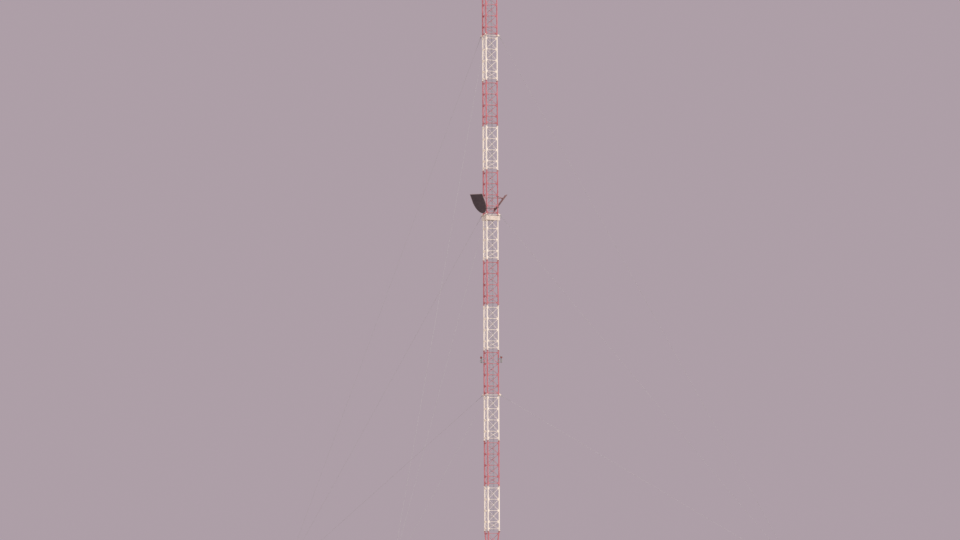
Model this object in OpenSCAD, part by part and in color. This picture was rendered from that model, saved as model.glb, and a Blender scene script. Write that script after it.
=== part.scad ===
// Guyed lattice radio mast with two periscope reflectors, as a 1:2 scale model.
// Millimetres, +Z up, origin on the ground under the middle of the pier.
// Legs A, B and C stand at 150, 270 and 30 degrees, and the guys run out over them.

/* [Lattice] */
// Height of one section, which is one band of paint
section_h = 3000; // [2600:50:3040]
// Distance from leg centre to leg centre
face_w = 1000; // [900:10:1100]
// Diameter of a leg pipe
leg_d = 84; // [72:1:90]
// Diameter of a horizontal girt
girt_d = 24; // [18:1:30]
// Diameter of a diagonal brace
brace_d = 16; // [12:1:20]
// Distance from a section's end to its outermost girt
end_gap = 150; // [110:5:190]
// Bracing panels in one section, with the short one at its foot
panels = 4; // [3:1:5]
// Height of the short panel
short_panel = 465; // [440:5:500]
// Diameter of a leg flange
flange_d = 150; // [130:1:160]
// Thickness of a leg flange
flange_t = 12; // [8:1:14]
// Radius of the leg centres at the foot of the tapered section
foot_r = 130; // [110:1:160]
// Diameter of the tapered section's foot plate
foot_plate_d = 370; // [360:5:420]
// Thickness of the tapered section's foot plate
foot_plate_t = 25; // [15:1:35]

/* [Base] */
// Side of the pier's lower step
pier_w = 1200; // [1000:10:1500]
// Height of the pier's lower step
pier_step_h = 110; // [60:5:130]
// Side of the pier's upper step
pier_top_w = 760; // [640:10:900]
// Height of the pier's upper step
pier_top_h = 90; // [50:5:110]
// Side of the steel base plate
base_plate_w = 460; // [400:5:560]
// Thickness of the steel base plate
base_plate_t = 20; // [12:1:25]
// Diameter of the pivot block
pivot_d = 120; // [90:1:150]
// Height of the pivot block
pivot_h = 40; // [25:1:50]
// Diameter of the pivot pin
pivot_pin_d = 50; // [30:1:60]
// Height of the pivot pin above its block
pivot_pin_h = 18; // [10:1:22]

/* [Guys] */
// Distance from the mast's axis to the point where an anchor's guys meet
anchor_r = 21000; // [18000:100:21400]
// Height of that point
anchor_z = 560; // [500:10:700]
// Distance from that point to the pins in the fan plate
fan_r = 430; // [380:5:520]
// Thickness of lugs and fan plates
lug_t = 14; // [10:1:18]
// Reach of a lug's pin beyond the leg's centre
lug_reach = 170; // [160:1:200]
// Drop of a lug's pin below its joint
lug_drop = 10; // [0:1:20]
// Diameter of a guy's pins
pin_d = 24; // [16:1:28]
// Diameter of the guy strand
strand_d = 11; // [8:1:16]
// Diameter of the collar plate round a leg
collar_d = 240; // [210:1:260]
// Thickness of the collar plate
collar_t = 16; // [10:1:20]
// Width of the ties between collar plates
tie_w = 50; // [40:1:60]
// Diameter of a turnbuckle's rods
rod_d = 26; // [20:1:32]
// Distance from a guy's lower pin to its turnbuckle
buckle_foot = 150; // [120:5:180]
// Length of a turnbuckle between its blocks
buckle_l = 320; // [260:5:380]
// Width of a turnbuckle
buckle_w = 68; // [60:1:80]
// Diameter of a strand's socket
socket_d = 36; // [28:1:44]
// Length of a strand's socket
socket_l = 120; // [90:5:150]
// Side of an anchor block
block_w = 900; // [800:10:1000]
// Height of an anchor block above the ground
block_h = 200; // [120:5:240]
// Side of the plate on an anchor block
shoe_w = 300; // [240:5:400]
// Thickness of the plate on an anchor block
shoe_t = 20; // [12:1:30]
// Diameter of an anchor shaft
shaft_d = 56; // [44:1:64]
// Slope of an anchor shaft
shaft_angle = 46; // [42:1:52]

/* [Reflectors] */
// Width of a reflector
panel_w = 950; // [900:5:1000]
// Length of a reflector
panel_l = 1530; // [1500:5:1600]
// Length of a reflector's rounded lower part
panel_round = 950; // [900:5:1000]
// Thickness of a reflector
panel_t = 30; // [20:1:40]
// Lean of a reflector from the vertical
panel_tilt = 37.5; // [34:0.5:40]
// Height of a reflector's lowest point above its joint
panel_lift = 90; // [60:5:140]
// Width of the ribs behind a reflector
rib_w = 30; // [24:1:36]
// Depth of the ribs behind a reflector
rib_h = 60; // [40:1:70]
// Diameter of the hinge pipe
hinge_d = 50; // [40:1:56]
// Diameter of the arms and struts
arm_d = 44; // [34:1:50]
// Depth of the girder round the mast
girder_h = 280; // [240:5:320]
// Distance from a face's bracing to the girder's web
girder_out = 90; // [80:1:100]
// Distance from the mast's axis to the girder's cut-off corners
girder_corner = 725; // [710:1:735]
// Drop of the girder's top below its joint
girder_drop = 60; // [55:1:75]
// Width of the girder's flanges
girder_flange = 56; // [52:1:64]
// Thickness of the girder's plates
girder_t = 10; // [6:1:14]

/* [Fittings] */
// Width of the ladder between its rails
ladder_w = 210; // [180:5:260]
// Depth of a ladder rail
rail_w = 36; // [24:1:44]
// Thickness of a ladder rail
rail_t = 8; // [6:1:12]
// Distance from rung to rung
rung_step = 150; // [125:5:175]
// Diameter of a rung
rung_d = 12; // [9:1:16]
// Diameter of the lamp cable's conduit
conduit_d = 24; // [16:1:32]
// Reach of a side lamp beyond its leg
side_lamp_reach = 200; // [180:5:230]
// Diameter of a side lamp's lens
side_lamp_d = 130; // [100:1:150]
// Diameter of the top beacon's lens
beacon_d = 150; // [120:1:180]
// Height of the top beacon's lens
beacon_h = 200; // [150:1:220]
// Height of the lightning rod above the top frame
spike_h = 540; // [400:5:560]
// Diameter of the lightning rod
spike_d = 14; // [10:1:20]
// Gap between pieces that fit into each other
fit = 0.3; // [0.2:0.05:0.4]

/* [Hidden] */

band_red = [0.70, 0.33, 0.29];
band_white = [0.90, 0.87, 0.82];
galvanised = [0.62, 0.64, 0.65];
concrete = [0.66, 0.64, 0.60];
reflector_grey = [0.52, 0.51, 0.50];

leg_az = [150, 270, 30];
leg_sides = 8;
bar_sides = 6;
leg_r = face_w / sqrt(3);
face_r = leg_r / 2;
girt_flat = girt_d / 2 * cos(180 / bar_sides);
seat = 0.2;

pier_h = pier_step_h + pier_top_h;
foot_z = pier_h + base_plate_t + pivot_h;
section_count = 13;
mast_top = foot_z + section_count * section_h;
guy_joints = [4, 8, 12];
reflector_joint = 8;
panel_h = (section_h - 2 * end_gap - short_panel) / (panels - 1);

fan_margin = 38;
fan_spread = 6;
rim_steps = 8;
cheek_t = 10;
cheek_w = 52;
cheek_back = 30;
fork_throat = 60;
fork_end = 88;

front_az = 258;
front_centre = [-326, -1140, 0];
rear_az = 24;
rear_centre = [375, 1160, 110];
frame_rib_x = 280;
frame_cross_z = [330, 760, 1180, 1470];
hinge_x = 200;
hinge_off = 50;
hinge_reach = 330;
strut_rise = 1130;
clamp_wall = 18;
clamp_h = 64;
pad_w = 70;
pad_t = 12;
knuckle = 54;
lamp_joint = 4;
lamp_girt = 3;
lamp_rise = 210;
lamp_arm_z = 110;

function polar(r, a, z = 0) = [r * cos(a), r * sin(a), z];
function joint_z(n) = foot_z + n * section_h;
function girt_z(k) = end_gap + (k == 0 ? 0 : short_panel + (k - 1) * panel_h);
function lean(p, t) = [p.x, p.y * cos(t) + p.z * sin(t), p.z * cos(t) - p.y * sin(t)];
function turn(p, a) = [p.x * cos(a) - p.y * sin(a), p.x * sin(a) + p.y * cos(a), p.z];

// A straight bar of few sides between two points
module bar(p, q, d, sides = bar_sides) {
    v = q - p;
    length = norm(v);
    translate(p) rotate([0, acos(v.z / length), atan2(v.y, v.x)])
        cylinder(h = length, d = d, $fn = sides);
}

// Legs, girts and crossed braces of one section, whose legs may draw in towards its foot
module lattice(r_foot, r_top) {
    function leg_at(i, z) =
        polar(r_foot + (r_top - r_foot) * z / section_h, leg_az[i % 3], z);
    for (i = [0:2]) {
        bar(leg_at(i, flange_t / 2), leg_at(i, section_h - flange_t / 2), leg_d, leg_sides);
        for (k = [0:panels]) bar(leg_at(i, girt_z(k)), leg_at(i + 1, girt_z(k)), girt_d);
        for (k = [1:panels]) {
            bar(leg_at(i, girt_z(k - 1)), leg_at(i + 1, girt_z(k)), brace_d);
            bar(leg_at(i + 1, girt_z(k - 1)), leg_at(i, girt_z(k)), brace_d);
        }
    }
}

module leg_flanges(z) {
    for (a = leg_az)
        translate(polar(leg_r, a, z)) cylinder(h = flange_t, d = flange_d, $fn = 12);
}

// The space that the three legs need between two heights
module leg_bores(z, h) {
    for (a = leg_az)
        translate(polar(leg_r, a, z)) cylinder(h = h, d = leg_d + 2 * fit, $fn = leg_sides);
}

module standard_section(n) {
    color(n % 2 == 0 ? band_white : band_red) translate([0, 0, joint_z(n - 1)]) {
        lattice(leg_r, leg_r);
        leg_flanges(0);
        leg_flanges(section_h - flange_t);
    }
}

module tapered_section() {
    color(band_red) translate([0, 0, foot_z]) difference() {
        union() {
            lattice(foot_r, leg_r);
            leg_flanges(section_h - flange_t);
            cylinder(h = foot_plate_t, d = foot_plate_d, $fn = 48);
        }
        translate([0, 0, -1]) cylinder(h = foot_plate_t + 1 + leg_d, d = pivot_pin_d + 2 * fit, $fn = 36);
    }
}

module base_pier() {
    color(concrete) {
        translate([-pier_w / 2, -pier_w / 2, 0]) cube([pier_w, pier_w, pier_step_h]);
        translate([-pier_top_w / 2, -pier_top_w / 2, pier_step_h])
            cube([pier_top_w, pier_top_w, pier_top_h]);
    }
}

module pivot_base() {
    color(galvanised) translate([0, 0, pier_h]) {
        translate([-base_plate_w / 2, -base_plate_w / 2, 0])
            cube([base_plate_w, base_plate_w, base_plate_t]);
        cylinder(h = base_plate_t + pivot_h, d = pivot_d, $fn = 48);
        cylinder(h = base_plate_t + pivot_h + pivot_pin_h, d = pivot_pin_d, $fn = 36);
    }
}

// Plates round the legs above a joint, the ties between them and a lug over each leg
module guy_collar(n) {
    z = joint_z(n);
    pin = [lug_reach, -lug_drop];
    eye = pin_d + 10;
    weld = 120;
    root = leg_d / 2 - 5;
    heel = flange_d / 2 + 5;
    color(n % 2 == 0 ? band_red : band_white) difference() {
        union() {
            for (a = leg_az) {
                translate(polar(leg_r, a, z + flange_t)) cylinder(h = collar_t, d = collar_d, $fn = 12);
                rotate([0, 0, a]) translate([leg_r, lug_t / 2, z]) rotate([90, 0, 0]) linear_extrude(lug_t)
                    polygon([[root, flange_t], [root, weld], [root + 45, weld], pin + [eye, eye],
                        pin + [eye, -eye], pin + [-eye, -eye], [heel, 0], [heel, flange_t]]);
                rotate([0, 0, a + 180]) translate([face_r + girt_d / 2, -face_w / 2, z + flange_t])
                    cube([tie_w, face_w, collar_t]);
            }
        }
        leg_bores(z, 2 * weld);
        for (a = leg_az)
            rotate([0, 0, a]) translate([leg_r + pin.x, 0, z + pin.y]) rotate([90, 0, 0])
                cylinder(h = 2 * lug_t, d = pin_d + 2 * fit, center = true, $fn = 36);
    }
}

function lug_z(level) = joint_z(guy_joints[level]) - lug_drop;
function guy_angle(level) = atan2(lug_z(level) - anchor_z, anchor_r - leg_r - lug_reach);
function guy_length(level) =
    norm([lug_z(level) - anchor_z, anchor_r - leg_r - lug_reach]) - fan_r;

// Two cheeks and a pin, with the plate that they hold round the origin
module fork() {
    gap = lug_t / 2 + fit;
    for (s = [-1, 1])
        translate([-cheek_w / 2, s * (gap + cheek_t / 2) - cheek_t / 2, -cheek_back])
            cube([cheek_w, cheek_t, cheek_back + fork_end]);
    translate([-cheek_w / 2, -gap - cheek_t / 2, fork_throat])
        cube([cheek_w, 2 * gap + cheek_t, fork_end - fork_throat]);
    rotate([90, 0, 0]) cylinder(h = 2 * (gap + cheek_t) + 12, d = pin_d, center = true, $fn = 36);
}

// One guy along +Z: fork, turnbuckle, socket, strand, socket and fork
module guy(level, leg) {
    length = guy_length(level);
    head = buckle_w / 2;
    buckle_top = buckle_foot + buckle_l;
    bar_x = (buckle_w - cheek_t) / 2 - 2;
    screw = 70;
    color(galvanised) rotate([0, 0, leg_az[leg]])
        translate([anchor_r - fan_r * cos(guy_angle(level)), 0, anchor_z + fan_r * sin(guy_angle(level))])
        rotate([0, guy_angle(level) - 90, 0]) {
            fork();
            translate([0, 0, fork_throat + 5])
                cylinder(h = buckle_foot + screw - fork_throat, d = rod_d, $fn = bar_sides);
            for (z = [buckle_foot, buckle_top])
                translate([-buckle_w / 2, -head / 2, z]) cube([buckle_w, head, head]);
            for (s = [-1, 1]) translate([s * bar_x - 7, -head / 2 + 4, buckle_foot])
                cube([14, head - 8, buckle_l + head]);
            translate([0, 0, buckle_top - screw]) cylinder(h = 2 * screw, d = rod_d, $fn = bar_sides);
            translate([0, 0, buckle_top + screw - 10]) cylinder(h = socket_l, d = socket_d, $fn = bar_sides);
            translate([0, 0, buckle_top + screw + 10])
                cylinder(h = length - buckle_top - screw - 10 - fork_end, d = strand_d, $fn = bar_sides);
            translate([0, 0, length - fork_end + 10 - socket_l])
                cylinder(h = socket_l, d = socket_d, $fn = bar_sides);
            translate([0, 0, length]) mirror([0, 0, 1]) fork();
        }
}

shoe_out = (anchor_z - block_h - shoe_t) / tan(shaft_angle);

module anchor_block(leg) {
    color(concrete) rotate([0, 0, leg_az[leg]])
        translate([anchor_r + shoe_out - block_w / 2, -block_w / 2, 0]) cube([block_w, block_w, block_h]);
}

// Fan plate for the three guys, its shaft and the shoe that holds it to the block
module anchor_shaft(leg) {
    tail = shaft_d * 1.4;
    foot = [shaft_d + 60, shaft_d + 44, 60];
    low = guy_angle(0) - fan_spread;
    high = guy_angle(2) + fan_spread;
    rim = [for (k = [0:rim_steps]) let (a = low + (high - low) * k / rim_steps)
        (fan_r + fan_margin) * [-cos(a), sin(a)]];
    color(galvanised) rotate([0, 0, leg_az[leg]]) difference() {
        union() {
            translate([anchor_r, lug_t / 2, anchor_z]) rotate([90, 0, 0]) linear_extrude(lug_t)
                polygon(concat([tail * [cos(shaft_angle + 90), -sin(shaft_angle + 90)]], rim,
                    [tail * [-cos(shaft_angle + 90), sin(shaft_angle + 90)]]));
            bar([anchor_r - 60 * cos(shaft_angle), 0, anchor_z + 60 * sin(shaft_angle)],
                [anchor_r + shoe_out, 0, block_h + shoe_t + foot.z / 2], shaft_d, leg_sides);
            translate([anchor_r + shoe_out - foot.x / 2, -foot.y / 2, block_h])
                cube([foot.x, foot.y, shoe_t + foot.z]);
            translate([anchor_r + shoe_out - shoe_w / 2, -shoe_w / 2, block_h])
                cube([shoe_w, shoe_w, shoe_t]);
        }
        for (level = [0:2])
            translate([anchor_r - fan_r * cos(guy_angle(level)), 0, anchor_z + fan_r * sin(guy_angle(level))])
                rotate([90, 0, 0]) cylinder(h = 2 * lug_t, d = pin_d + 2 * fit, center = true, $fn = 36);
    }
}

// A triangle round the three faces with its corners cut off, drawn in by an inset
module girder_core(inset, h) {
    rotate([0, 0, leg_az[2]]) intersection() {
        cylinder(r = 2 * (face_r + girder_out - inset), h = h, $fn = 3);
        rotate([0, 0, 180]) cylinder(r = 2 * (girder_corner - inset), h = h, $fn = 3);
    }
}

module girder_ring(w, h) {
    difference() {
        girder_core(0, h);
        translate([0, 0, -1]) girder_core(w, h + 2);
    }
}

// Channel girder round the mast, just under the joint that carries the reflectors
module reflector_girder() {
    z = joint_z(reflector_joint) - girder_drop - girder_h;
    color(band_white) difference() {
        translate([0, 0, z]) {
            girder_ring(girder_t, girder_h);
            girder_ring(girder_flange, girder_t);
            translate([0, 0, girder_h - girder_t]) girder_ring(girder_flange, girder_t);
        }
        leg_bores(z - 1, girder_h + 2);
    }
}

// A reflector's foot, from the middle of its panel in plan and the panel's own rise
function reflector_foot(centre, az) =
    centre + [0, 0, joint_z(reflector_joint) + panel_lift] - polar(panel_l / 2 * sin(panel_tilt), az);
function on_reflector(p, centre, az) = reflector_foot(centre, az) + turn(lean(p, panel_tilt), az - 90);
module at_reflector(centre, az) {
    translate(reflector_foot(centre, az)) rotate([0, 0, az - 90]) rotate([-panel_tilt, 0, 0]) children();
}

function shield_outline() = concat(
    [[-panel_w / 2, panel_l], [-panel_w / 2, panel_round]],
    [for (a = [185:10:355]) [panel_w / 2 * cos(a), panel_round * (1 + sin(a))]],
    [[panel_w / 2, panel_round], [panel_w / 2, panel_l]]);

// A flat panel, straight at its top and rounded at its foot
module reflector(centre, az) {
    color(reflector_grey) at_reflector(centre, az)
        translate([0, panel_t / 2, 0]) rotate([90, 0, 0]) linear_extrude(panel_t) polygon(shield_outline());
}

rib_y = -panel_t / 2 - rib_h;
hinge_y = rib_y - hinge_off;

// Ribs behind a panel, with the two lugs that turn on the hinge pipe
module reflector_frame(centre, az) {
    rib_foot = panel_round * (1 - sqrt(1 - pow((frame_rib_x + rib_w / 2) / (panel_w / 2), 2))) + 10;
    lug = hinge_d + 2 * clamp_wall;
    color(band_red) at_reflector(centre, az) difference() {
        union() {
            for (s = [-1, 1]) {
                translate([s * frame_rib_x - rib_w / 2, rib_y, rib_foot])
                    cube([rib_w, rib_h, panel_l - 15 - rib_foot]);
                translate([s * hinge_x - rib_w / 2, hinge_y, frame_cross_z[0] - lug / 2])
                    cube([rib_w, hinge_off, lug]);
                translate([s * hinge_x - rib_w / 2, hinge_y, frame_cross_z[0]]) rotate([0, 90, 0])
                    cylinder(h = rib_w, d = lug, $fn = 12);
            }
            for (z = frame_cross_z) translate([-frame_rib_x, rib_y, z - rib_w / 2])
                cube([2 * frame_rib_x, rib_h, rib_w]);
        }
        translate([-panel_w, hinge_y, frame_cross_z[0]]) rotate([0, 90, 0])
            cylinder(h = 2 * panel_w, d = hinge_d + 2 * fit, $fn = 48);
    }
}

// Hinge pipe, the arms that carry it from two legs, and the struts that set the lean
module reflector_mount(centre, az, legs) {
    hinge_z = on_reflector([0, hinge_y, frame_cross_z[0]], centre, az).z;
    strut_z = joint_z(reflector_joint) + strut_rise + centre.z;
    color(band_red) difference() {
        union() {
            at_reflector(centre, az) {
                translate([-hinge_reach, hinge_y, frame_cross_z[0]]) rotate([0, 90, 0])
                    cylinder(h = 2 * hinge_reach, d = hinge_d, $fn = 48);
                for (s = [-1, 1]) translate([s * hinge_x, rib_y - seat - pad_t, frame_cross_z[2]]) {
                    translate([-pad_w / 2, 0, -pad_w / 2]) cube([pad_w, pad_t, pad_w]);
                    translate([-knuckle / 2, -knuckle, -knuckle / 2]) cube([knuckle, knuckle + 1, knuckle]);
                }
            }
            for (k = [0, 1]) {
                s = 2 * k - 1;
                leg = leg_az[legs[k]];
                arm_end = [s * (hinge_reach - arm_d / 2), hinge_y, frame_cross_z[0]];
                strut_end = [s * hinge_x, rib_y - seat - pad_t - knuckle / 2, frame_cross_z[2]];
                bar(polar(leg_r, leg, hinge_z), on_reflector(arm_end, centre, az), arm_d);
                bar(polar(leg_r, leg, strut_z), on_reflector(strut_end, centre, az), arm_d);
                for (z = [hinge_z, strut_z]) translate(polar(leg_r, leg, z - clamp_h / 2))
                    cylinder(h = clamp_h, d = leg_d + 2 * clamp_wall, $fn = 12);
            }
        }
        leg_bores(hinge_z - section_h / 2, section_h);
    }
}

rail_y = face_r - girt_flat - seat - rail_w;
ladder_foot = joint_z(1);
ladder_run = (section_count - 1) * section_h / 2;

// Half of the climbing ladder, against the girts inside the face between legs A and C
module ladder(part) {
    color(galvanised) translate([0, 0, ladder_foot + part * ladder_run]) {
        for (s = [-1, 1]) translate([s * (ladder_w + rail_t) / 2 - rail_t / 2, rail_y, 0])
            cube([rail_t, rail_w, ladder_run]);
        for (z = [rung_step / 2 : rung_step : ladder_run - rung_d])
            bar([-(ladder_w + rail_t) / 2, rail_y + rail_w / 2, z],
                [(ladder_w + rail_t) / 2, rail_y + rail_w / 2, z], rung_d);
    }
}

module lamp_conduit() {
    side = conduit_d / 2 * cos(180 / leg_sides);
    color(galvanised)
        translate([ladder_w / 2 + rail_t + 2 * conduit_d, face_r - girt_flat - seat - side, ladder_foot])
        rotate([0, 0, 180 / leg_sides]) cylinder(h = 2 * ladder_run, d = conduit_d, $fn = leg_sides);
}

// Lens on its seat, with a domed cap
module lamp_head() {
    r = side_lamp_d / 2;
    seat_r = r + 12;
    seat_h = 20;
    lens_h = side_lamp_d;
    cap_h = 50;
    rotate_extrude($fn = 48) polygon([[0, 0], [seat_r, 0], [seat_r, seat_h], [r, seat_h], [r, lens_h],
        [0.8 * r, lens_h + 0.6 * cap_h], [0.4 * r, lens_h + 0.92 * cap_h], [0, lens_h + cap_h]]);
}

// A lamp with its box on a short pipe, held by two arms off each of the legs A and C
module side_lamps() {
    z = joint_z(lamp_joint) + girt_z(lamp_girt) + lamp_rise;
    pipe_d = 44;
    arm = 20;
    box = [130, 120, 200];
    box_foot = -lamp_arm_z - 30;
    color("firebrick") for (leg = [0, 2]) difference() {
        translate(polar(leg_r, leg_az[leg], z)) {
            for (s = [-1, 1]) translate([0, 0, s * lamp_arm_z - clamp_h / 2])
                cylinder(h = clamp_h, d = leg_d + 2 * clamp_wall, $fn = 12);
            rotate([0, 0, leg == 0 ? 180 : 0]) {
                for (s = [-1, 1])
                    translate([0, -arm / 2, s * lamp_arm_z - arm / 2]) cube([side_lamp_reach, arm, arm]);
                translate([side_lamp_reach, 0, box_foot - 10])
                    cylinder(h = 2 * lamp_arm_z + 70, d = pipe_d, $fn = leg_sides);
                translate([side_lamp_reach - box.x / 2, -box.y / 2, box_foot]) cube(box);
                translate([side_lamp_reach, 0, lamp_arm_z + 25]) lamp_head();
            }
        }
        leg_bores(z - section_h / 2, section_h);
    }
}

// Spider on the top flanges, with its middle plate and the lightning rod
module top_frame() {
    arm_w = 60;
    color(band_red) translate([0, 0, mast_top]) {
        for (a = leg_az) {
            translate(polar(leg_r, a)) cylinder(h = flange_t, d = flange_d, $fn = 12);
            rotate([0, 0, a]) translate([0, -arm_w / 2, 1]) cube([leg_r, arm_w, flange_t - 2]);
        }
        cylinder(h = flange_t, d = beacon_d + 110, $fn = 12);
        translate(polar(leg_r, leg_az[2])) cylinder(h = flange_t + spike_h, d = spike_d, $fn = leg_sides);
        translate(polar(leg_r, leg_az[2])) cylinder(h = flange_t + 60, d = spike_d * 3, $fn = leg_sides);
    }
}

module top_beacon() {
    r = beacon_d / 2;
    flange_r = r + 30;
    collar_r = r + 4;
    collar_h = 70;
    cap_h = 56;
    color("firebrick") translate([0, 0, mast_top + flange_t]) rotate_extrude($fn = 64)
        polygon([[0, 0], [flange_r, 0], [flange_r, 12], [collar_r, 12], [collar_r, collar_h], [r, collar_h],
            [r, beacon_h], [0.72 * r, beacon_h + 0.75 * cap_h], [0.32 * r, beacon_h + cap_h],
            [0, beacon_h + cap_h]]);
}

base_pier();
pivot_base();
tapered_section();  // section_01
standard_section(2);  // section_02
standard_section(3);  // section_03
standard_section(4);  // section_04
standard_section(5);  // section_05
standard_section(6);  // section_06
standard_section(7);  // section_07
standard_section(8);  // section_08
standard_section(9);  // section_09
standard_section(10);  // section_10
standard_section(11);  // section_11
standard_section(12);  // section_12
standard_section(13);  // section_13
guy_collar(guy_joints[0]);  // guy_collar_lower
guy_collar(guy_joints[1]);  // guy_collar_middle
guy_collar(guy_joints[2]);  // guy_collar_upper
guy(0, 0);  // guy_lower_a
guy(0, 1);  // guy_lower_b
guy(0, 2);  // guy_lower_c
guy(1, 0);  // guy_middle_a
guy(1, 1);  // guy_middle_b
guy(1, 2);  // guy_middle_c
guy(2, 0);  // guy_upper_a
guy(2, 1);  // guy_upper_b
guy(2, 2);  // guy_upper_c
anchor_block(0);  // anchor_block_a
anchor_block(1);  // anchor_block_b
anchor_block(2);  // anchor_block_c
anchor_shaft(0);  // anchor_shaft_a
anchor_shaft(1);  // anchor_shaft_b
anchor_shaft(2);  // anchor_shaft_c
reflector_girder();
reflector(front_centre, front_az);  // front_reflector
reflector_frame(front_centre, front_az);  // front_reflector_frame
reflector_mount(front_centre, front_az, [1, 0]);  // front_reflector_mount
reflector(rear_centre, rear_az);  // rear_reflector
reflector_frame(rear_centre, rear_az);  // rear_reflector_frame
reflector_mount(rear_centre, rear_az, [0, 2]);  // rear_reflector_mount
ladder(0);  // ladder_lower
ladder(1);  // ladder_upper
lamp_conduit();
side_lamps();
top_frame();
top_beacon();
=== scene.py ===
# Guyed lattice radio mast, dressed: round members, gussets and bolts, guys with their fittings, cast
# concrete, reflector panels and lamps, each in weathered paint, zinc, sheet or glass.
import math

import bmesh
import bpy
from mathutils import Matrix, Vector


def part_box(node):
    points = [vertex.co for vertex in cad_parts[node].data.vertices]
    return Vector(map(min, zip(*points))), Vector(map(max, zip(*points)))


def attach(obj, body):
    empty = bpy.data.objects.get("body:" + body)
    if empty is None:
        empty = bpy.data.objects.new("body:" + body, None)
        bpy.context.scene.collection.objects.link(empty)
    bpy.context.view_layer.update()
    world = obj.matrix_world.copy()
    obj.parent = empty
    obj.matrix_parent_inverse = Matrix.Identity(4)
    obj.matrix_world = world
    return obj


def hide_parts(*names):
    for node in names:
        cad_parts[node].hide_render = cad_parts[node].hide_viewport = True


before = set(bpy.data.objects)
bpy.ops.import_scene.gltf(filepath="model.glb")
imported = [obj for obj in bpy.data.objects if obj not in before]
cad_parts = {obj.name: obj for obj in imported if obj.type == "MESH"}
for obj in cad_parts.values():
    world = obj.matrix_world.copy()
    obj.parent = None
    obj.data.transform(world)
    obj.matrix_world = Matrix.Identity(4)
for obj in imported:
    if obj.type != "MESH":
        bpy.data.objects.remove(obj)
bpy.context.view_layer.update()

# Driving dimensions, in metres and degrees

LEG_AZ = {"a": 150, "b": 270, "c": 30}
LEGS = list(LEG_AZ)
SECTION_COUNT = 13
LEG_D = 0.084
GIRT_D = 0.024
BRACE_D = 0.016
END_GAP = 0.150
SHORT_PANEL = 0.465
PANELS = 4
FLANGE_D = 0.150
FLANGE_T = 0.012
FLANGE_BOLTS = 8
FLANGE_BOLT_D = 0.011
FLANGE_BOLT_R = LEG_D / 2 + 0.0185
FLANGE_RIB_H = 0.055
FOOT_R = 0.130
FOOT_PLATE_D = 0.370
FOOT_PLATE_T = 0.025
PIN_HOLE_D = 0.0506
GUSSET_T = 0.008
GUSSET_REACH = 0.135
GUSSET_H = 0.170
CROSS_PLATE_D = 0.060
LATTICE_BOLT_D = 0.008
LATTICE_BOLT_SUNK = 0.0015

GUY_JOINTS = {"lower": 4, "middle": 8, "upper": 12}
COLLAR_T = 0.016
ANCHOR_R = 21.0
ANCHOR_Z = 0.560
FAN_R = 0.430
LUG_REACH = 0.170
LUG_DROP = 0.010
LUG_T = 0.014
PIN_D = 0.024
STRAND_D = 0.011
SEAT_GAP = 0.0003
BUCKLE = (0.150, 0.470)
BUCKLE_ROD_R = 0.012
THREAD_R = 0.0133
THREAD_PITCH = 0.0035
FORK_END = 0.088
SOCKET_R = 0.018
GRIP_L = 0.55
GRIP_WIRES = 3
GRIP_WIRE_D = 0.0042
GRIP_PITCH = 0.075
GRIP_STEPS_A_TURN = 9
COLLAR_BOLT_D = 0.010

PIER_STEP_H = 0.110
PIER_TOP_W = 0.760
BASE_PLATE_T = 0.020
BLOCK_W = 0.900
SHOE_T = 0.020
SHOE_BOLT_AT = 0.105

REFLECTOR_JOINT = 8
PANEL_W = 0.950
PANEL_L = 1.530
PANEL_ROUND = 0.950
PANEL_T = 0.030
PANEL_TILT = 37.5
PANEL_LIFT = 0.090
RIB_X = 0.280
RIB_H = 0.060
RIB_CROSS_Z = (0.330, 0.760, 1.180, 1.470)
RIM_W = 0.022
SHEET_JOINT_Z = (PANEL_ROUND * 0.52, 1.04)
HINGE_X = 0.200
HINGE_OFF = 0.050
HINGE_REACH = 0.330
HINGE_D = 0.050
STRUT_RISE = 1.130
CLAMP_EAR_TURN = 130
# The middle of each panel, from the mast's axis and the joint below it, and the azimuth that it faces
REFLECTORS = {"front": ((-0.326, -1.140, 0.0), 258), "rear": ((0.375, 1.160, 0.110), 24)}

LADDER_W = 0.210
RAIL_T = 0.008
CONDUIT_D = 0.024
COUPLING_STEP = 1.5

LAMP_JOINT = 4
LAMP_GIRT = 3
LAMP_REACH = 0.200
LAMP_RISE = 0.210
LAMP_ARM_Z = 0.110
LAMP_D = 0.130
LAMP_LENS_H = 0.106
LAMP_BOX = (0.124, 0.114, 0.186)
BEACON_D = 0.150
BEACON_LENS_H = 0.128
LENS_RIBS = 7

# Places read from the frame

foot_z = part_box("section_01")[0].z
section_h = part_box("section_02")[1].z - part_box("section_02")[0].z
leg_r = (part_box("section_02")[1].x - FLANGE_D / 2) / math.cos(math.radians(LEG_AZ["c"]))
face_r = leg_r / 2
mast_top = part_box("section_13")[1].z


def joint_z(n):
    """Height of the joint on top of section n"""
    return foot_z + n * section_h


def girt_heights():
    """Heights of a section's girts above its foot"""
    tall = (section_h - 2 * END_GAP - SHORT_PANEL) / (PANELS - 1)
    return [END_GAP] + [END_GAP + SHORT_PANEL + k * tall for k in range(PANELS)]


def polar(radius, azimuth, z=0.0):
    """A point at the given distance and azimuth from the mast's axis"""
    a = math.radians(azimuth)
    return Vector((radius * math.cos(a), radius * math.sin(a), z))


def along(origin, direction, side=(0, 0, 1)):
    """A frame at origin with its Z axis along direction, and its X axis as near side as it can be"""
    z = Vector(direction).normalized()
    x = Vector(side)
    if abs(x.normalized().dot(z)) > 0.999:
        x = z.orthogonal()
    x = (x - z * x.dot(z)).normalized()
    matrix = Matrix((x, z.cross(x), z)).transposed().to_4x4()
    matrix.translation = Vector(origin)
    return matrix


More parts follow.
